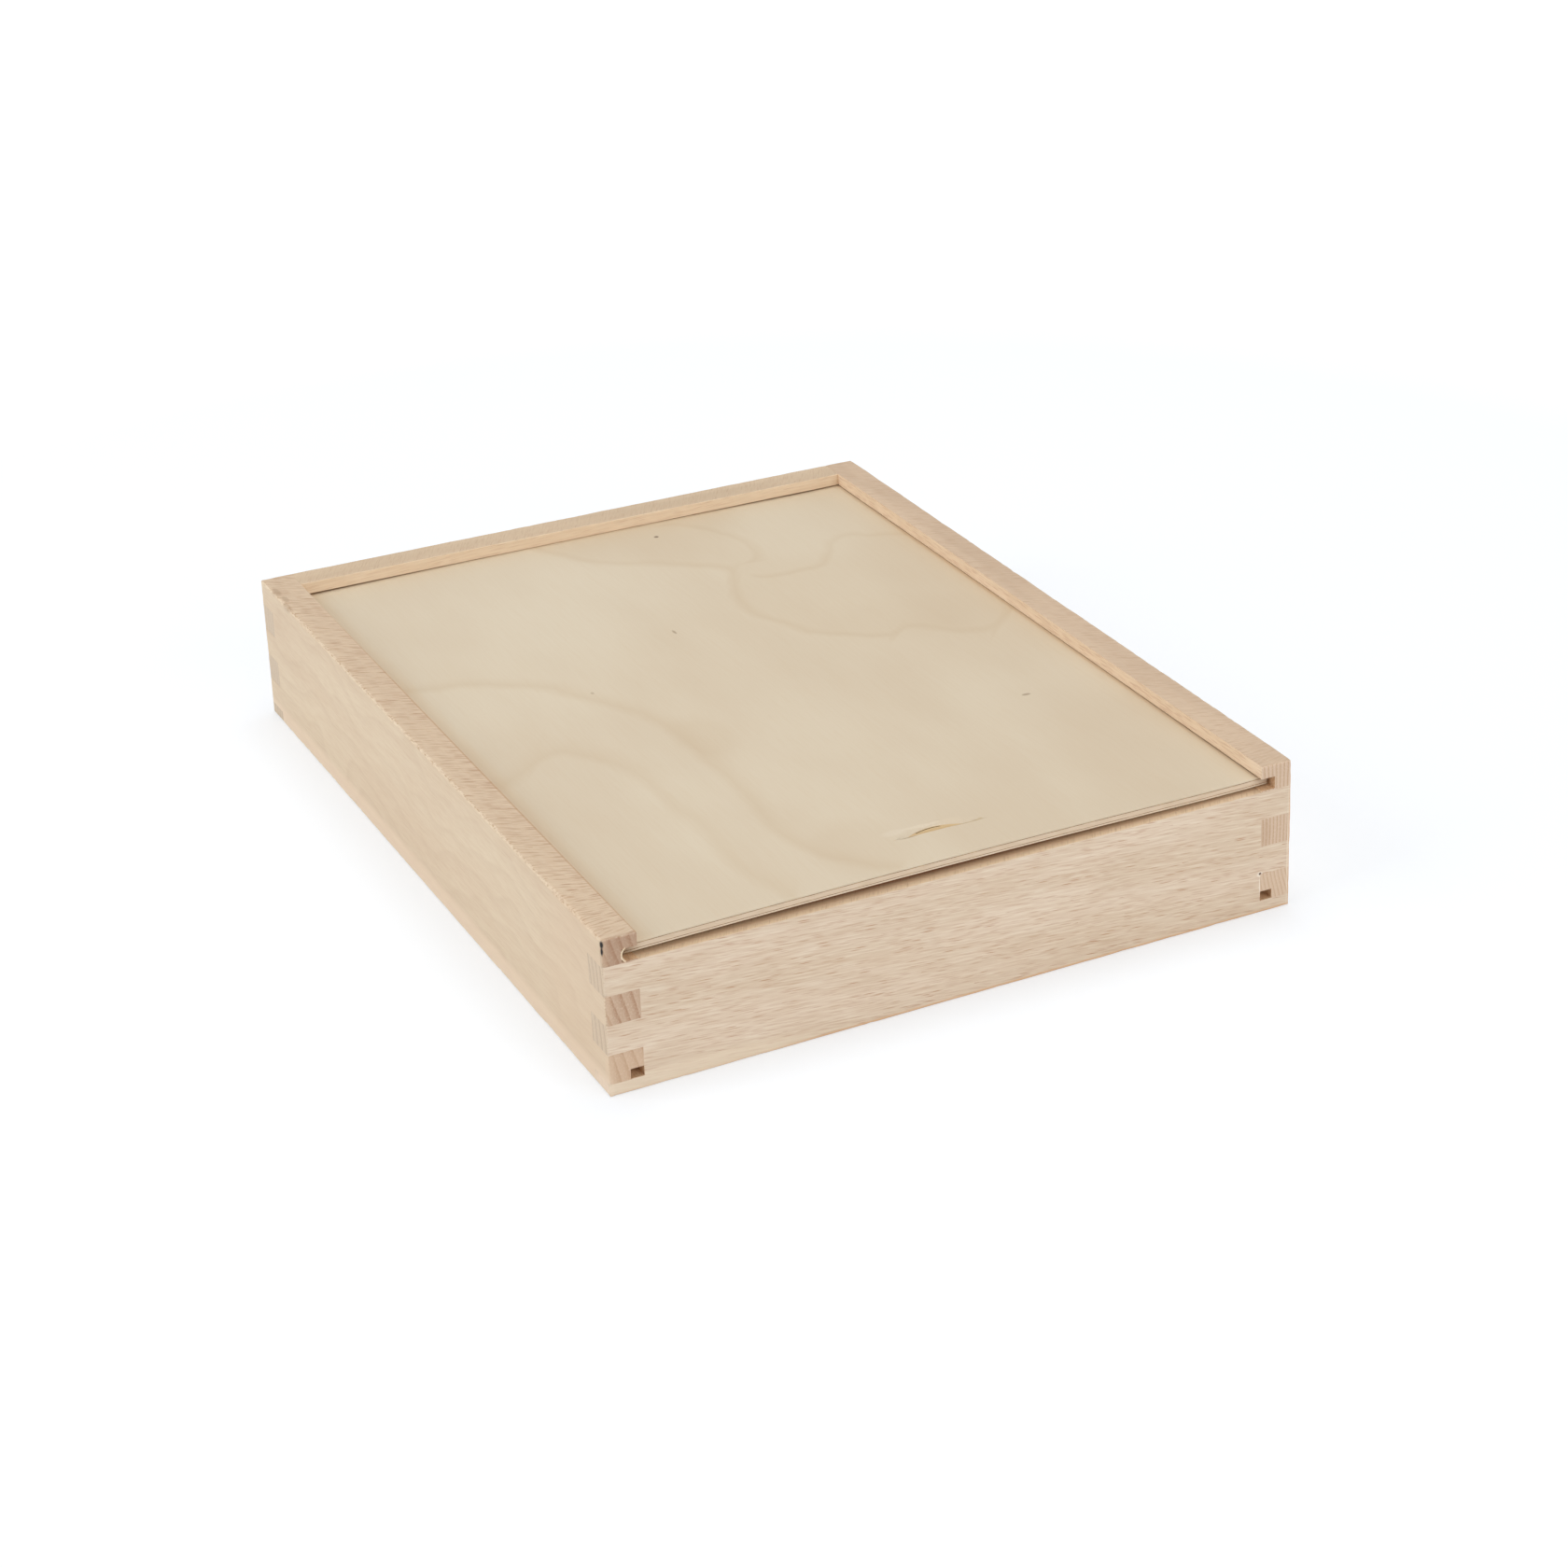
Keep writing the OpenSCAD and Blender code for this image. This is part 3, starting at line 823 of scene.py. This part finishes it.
def ply(node, name, body, core_box, bend, slot, *materials):
    """One ply of a plywood panel, with the glue line on its cut edges. The panel's top front
    arris is sanded round and its other outer arrises are eased, and a panel that bends is
    cut in strips and lifted."""
    bm = whole_copy(node)
    low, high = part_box(node)
    core_low, core_high = core_box
    top, bottom = (lid_high.z, lid_low.z) if bend else (high.z, low.z)
    round_edges(bm, LID_ARRIS, ROUNDED, lambda place: place.z > core_high.z + WELD
                and abs(place.z - top) < WELD and place.y < low.y + WELD)
    round_edges(bm, SAWN_EASE, CHAMFERED, lambda place: min(
        abs(place.z - top), abs(place.z - bottom)) < WELD)
    for seam in (core_low.z, core_high.z):
        for level in (seam - GLUE_LINE, seam + GLUE_LINE):
            if low.z < level < high.z:
                cut_across(bm, 2, level)
    for face in bm.faces:
        middle = face.calc_center_median()
        flatness = abs(face.normal.z)
        depth = min(min(middle[k] - low[k], high[k] - middle[k]) for k in range(2))
        near_seam = min(abs(middle.z - core_low.z), abs(middle.z - core_high.z)) < GLUE_LINE
        on_seam = near_seam and flatness < FLAT
        in_notch = depth > NOTCH_MARGIN and CHAMFER[0] < flatness < CHAMFER[1]
        face.material_index = 1 if on_seam or in_notch else 0
    if bend:
        cut_in_strips(bm, 0, low.x, high.x, BEND_STEP_ACROSS)
        cut_in_strips(bm, 1, low.y, high.y, BEND_STEP_ALONG)
        for v in bm.verts:
            v.co.z += lid_lift(v.co)
    return add_piece(bm, name, body, node, slot, *materials)


# Boards
left_beech = planed_beech(
    "planed_beech_left", "left_side_board", ("#E0CCAF", "#DCC6A9", "#CAB398", "#C4A68C", "#AA8163"),
    rings=(3.1, 17), tilt=0, rays=0.12, edge_lines=1.0, torn=1.0, marks=LEFT_MARKS)
right_beech = planed_beech(
    "planed_beech_right", "right_side_board", ("#F3DCC1", "#EDD5B8", "#C0A78D", "#D6BCA3", "#BF9A79"),
    rings=(1.5, 4), tilt=0, rays=0.4, edge_lines=0.5, torn=0.4, marks=RIGHT_MARKS)
front_beech = planed_beech(
    "planed_beech_front", "front_board", ("#E2CDB5", "#DBC5AB", "#DBC09E", "#D6C1A7", "#C1A88D"),
    rings=(3.1, 8), tilt=5, rays=1.0, edge_lines=0.4, torn=0.5, marks=FRONT_MARKS)
back_beech = planed_beech(
    "planed_beech_back", "back_board", ("#EED7BA", "#E8D0B2", "#C1AB8F", "#D3C0A8", "#C4AE95"),
    rings=(2.7, -6), tilt=-3, rays=0.5, edge_lines=0.35, torn=0.3)
# Browner routed wood for the grooves and joints inside the boards, warm so that it paints the shade in
# them
routed_beech_warm_shade = torn_beech("routed_beech_warm_shade", "#E3C19C", "#CFA67C")

for node, name, slot, wood in (
        ("left_side_board", "planed_left_side_board", "side_board_wood", left_beech),
        ("right_side_board", "planed_right_side_board", "side_board_wood", right_beech),
        ("front_board", "planed_front_board", "end_board_wood", front_beech),
        ("back_board", "planed_back_board", "end_board_wood", back_beech)):
    worn_board(node, name, slot, wood, routed_beech_warm_shade)

add_piece(groove_burr(), "torn_groove_burr", "box", None, "side_board_wood",
          torn_beech("torn_beech_fibres", "#F1DFC4", "#E0C29C"))

# Plywood floor and lid
lid_marks = [((x, y, LID_LEVEL), (half_x, half_y, LID_REACH), colour, strength)
             for (x, y), (half_x, half_y), colour, strength in LID_MARKS]
lid_top = peeled_veneer("peeled_beech_lid_top", lid_figure, 0, lid_marks)
plain_veneer = peeled_veneer("peeled_beech_plain", free_figure, 400, PLAIN_MARKS)
core = sawn_core("sawn_core_ply", NOTCH_MARKS)
glue = glue_line("plywood_glue_line", NOTCH_MARKS)

for node, name, slot, wood in (
        ("floor_bottom_veneer", "floor_bottom_face", "face_veneer", plain_veneer),
        ("floor_core_ply", "floor_core_sheet", "core_ply", core),
        ("floor_top_veneer", "floor_top_face", "face_veneer", plain_veneer)):
    ply(node, name, "box", floor_core, False, slot, wood, glue)
for node, name, slot, wood in (
        ("lid_bottom_veneer", "bowed_lid_bottom_veneer", "face_veneer", plain_veneer),
        ("lid_core_ply", "bowed_lid_core_ply", "core_ply", core),
        ("lid_top_veneer", "bowed_lid_top_veneer", "face_veneer", lid_top)):
    ply(node, name, "lid", lid_core, True, slot, wood, glue)

# Studio floor
ground = bmesh.new()
bmesh.ops.create_grid(ground, x_segments=1, y_segments=1, size=FLOOR_HALF)
ground_mesh = bpy.data.meshes.new("studio_floor")
ground.to_mesh(ground_mesh)
ground.free()
ground_mesh.materials.append(white_paper())
studio_floor = bpy.data.objects.new("studio_floor", ground_mesh)
bpy.context.scene.collection.objects.link(studio_floor)

# Even white room
world = bpy.data.worlds.new("white_room")
world.use_nodes = True
bpy.context.scene.world = world
tree = world.node_tree
tree.nodes.clear()
strength = add(tree, "ShaderNodeMapRange", {
    "Value": seen_or_mirrored(tree), "To Min": ROOM_STRENGTH, "To Max": 1.0})
room = add(tree, "ShaderNodeBackground", {"Color": "#FFFFFF", "Strength": strength})
add(tree, "ShaderNodeOutputWorld", {"Surface": room})

# Softboxes, each turned to the frame's origin
for name, place, power in SOFTBOXES:
    lamp = bpy.data.lights.new(name, "AREA")
    lamp.size = SOFTBOX_SIZE
    lamp.energy = power
    holder = bpy.data.objects.new(name, lamp)
    bpy.context.scene.collection.objects.link(holder)
    holder.location = place
    holder.rotation_mode = "QUATERNION"
    holder.rotation_quaternion = (-Vector(place)).to_track_quat("-Z", "Y")

# Camera
camera_data = bpy.data.cameras.new("camera")
camera = bpy.data.objects.new("camera", camera_data)
bpy.context.scene.collection.objects.link(camera)
camera_data.lens = CAMERA_LENS
camera_data.sensor_width = SENSOR_WIDTH
camera_data.shift_x, camera_data.shift_y = CAMERA_SHIFT
camera_data.clip_start, camera_data.clip_end = CLIP_START, CLIP_END
azimuth = math.radians(CAMERA_AZIMUTH)
elevation = math.radians(CAMERA_ELEVATION)
ahead = Vector((math.sin(azimuth) * math.cos(elevation),
                math.cos(azimuth) * math.cos(elevation), -math.sin(elevation)))
camera.location = CAMERA_PLACE
camera.rotation_mode = "QUATERNION"
turn = ahead.to_track_quat("-Z", "Y")
roll = Matrix.Rotation(math.radians(CAMERA_ROLL), 3, ahead).to_quaternion()
camera.rotation_quaternion = roll @ turn
bpy.context.scene.camera = camera

bpy.context.scene.view_settings.view_transform = "Standard"
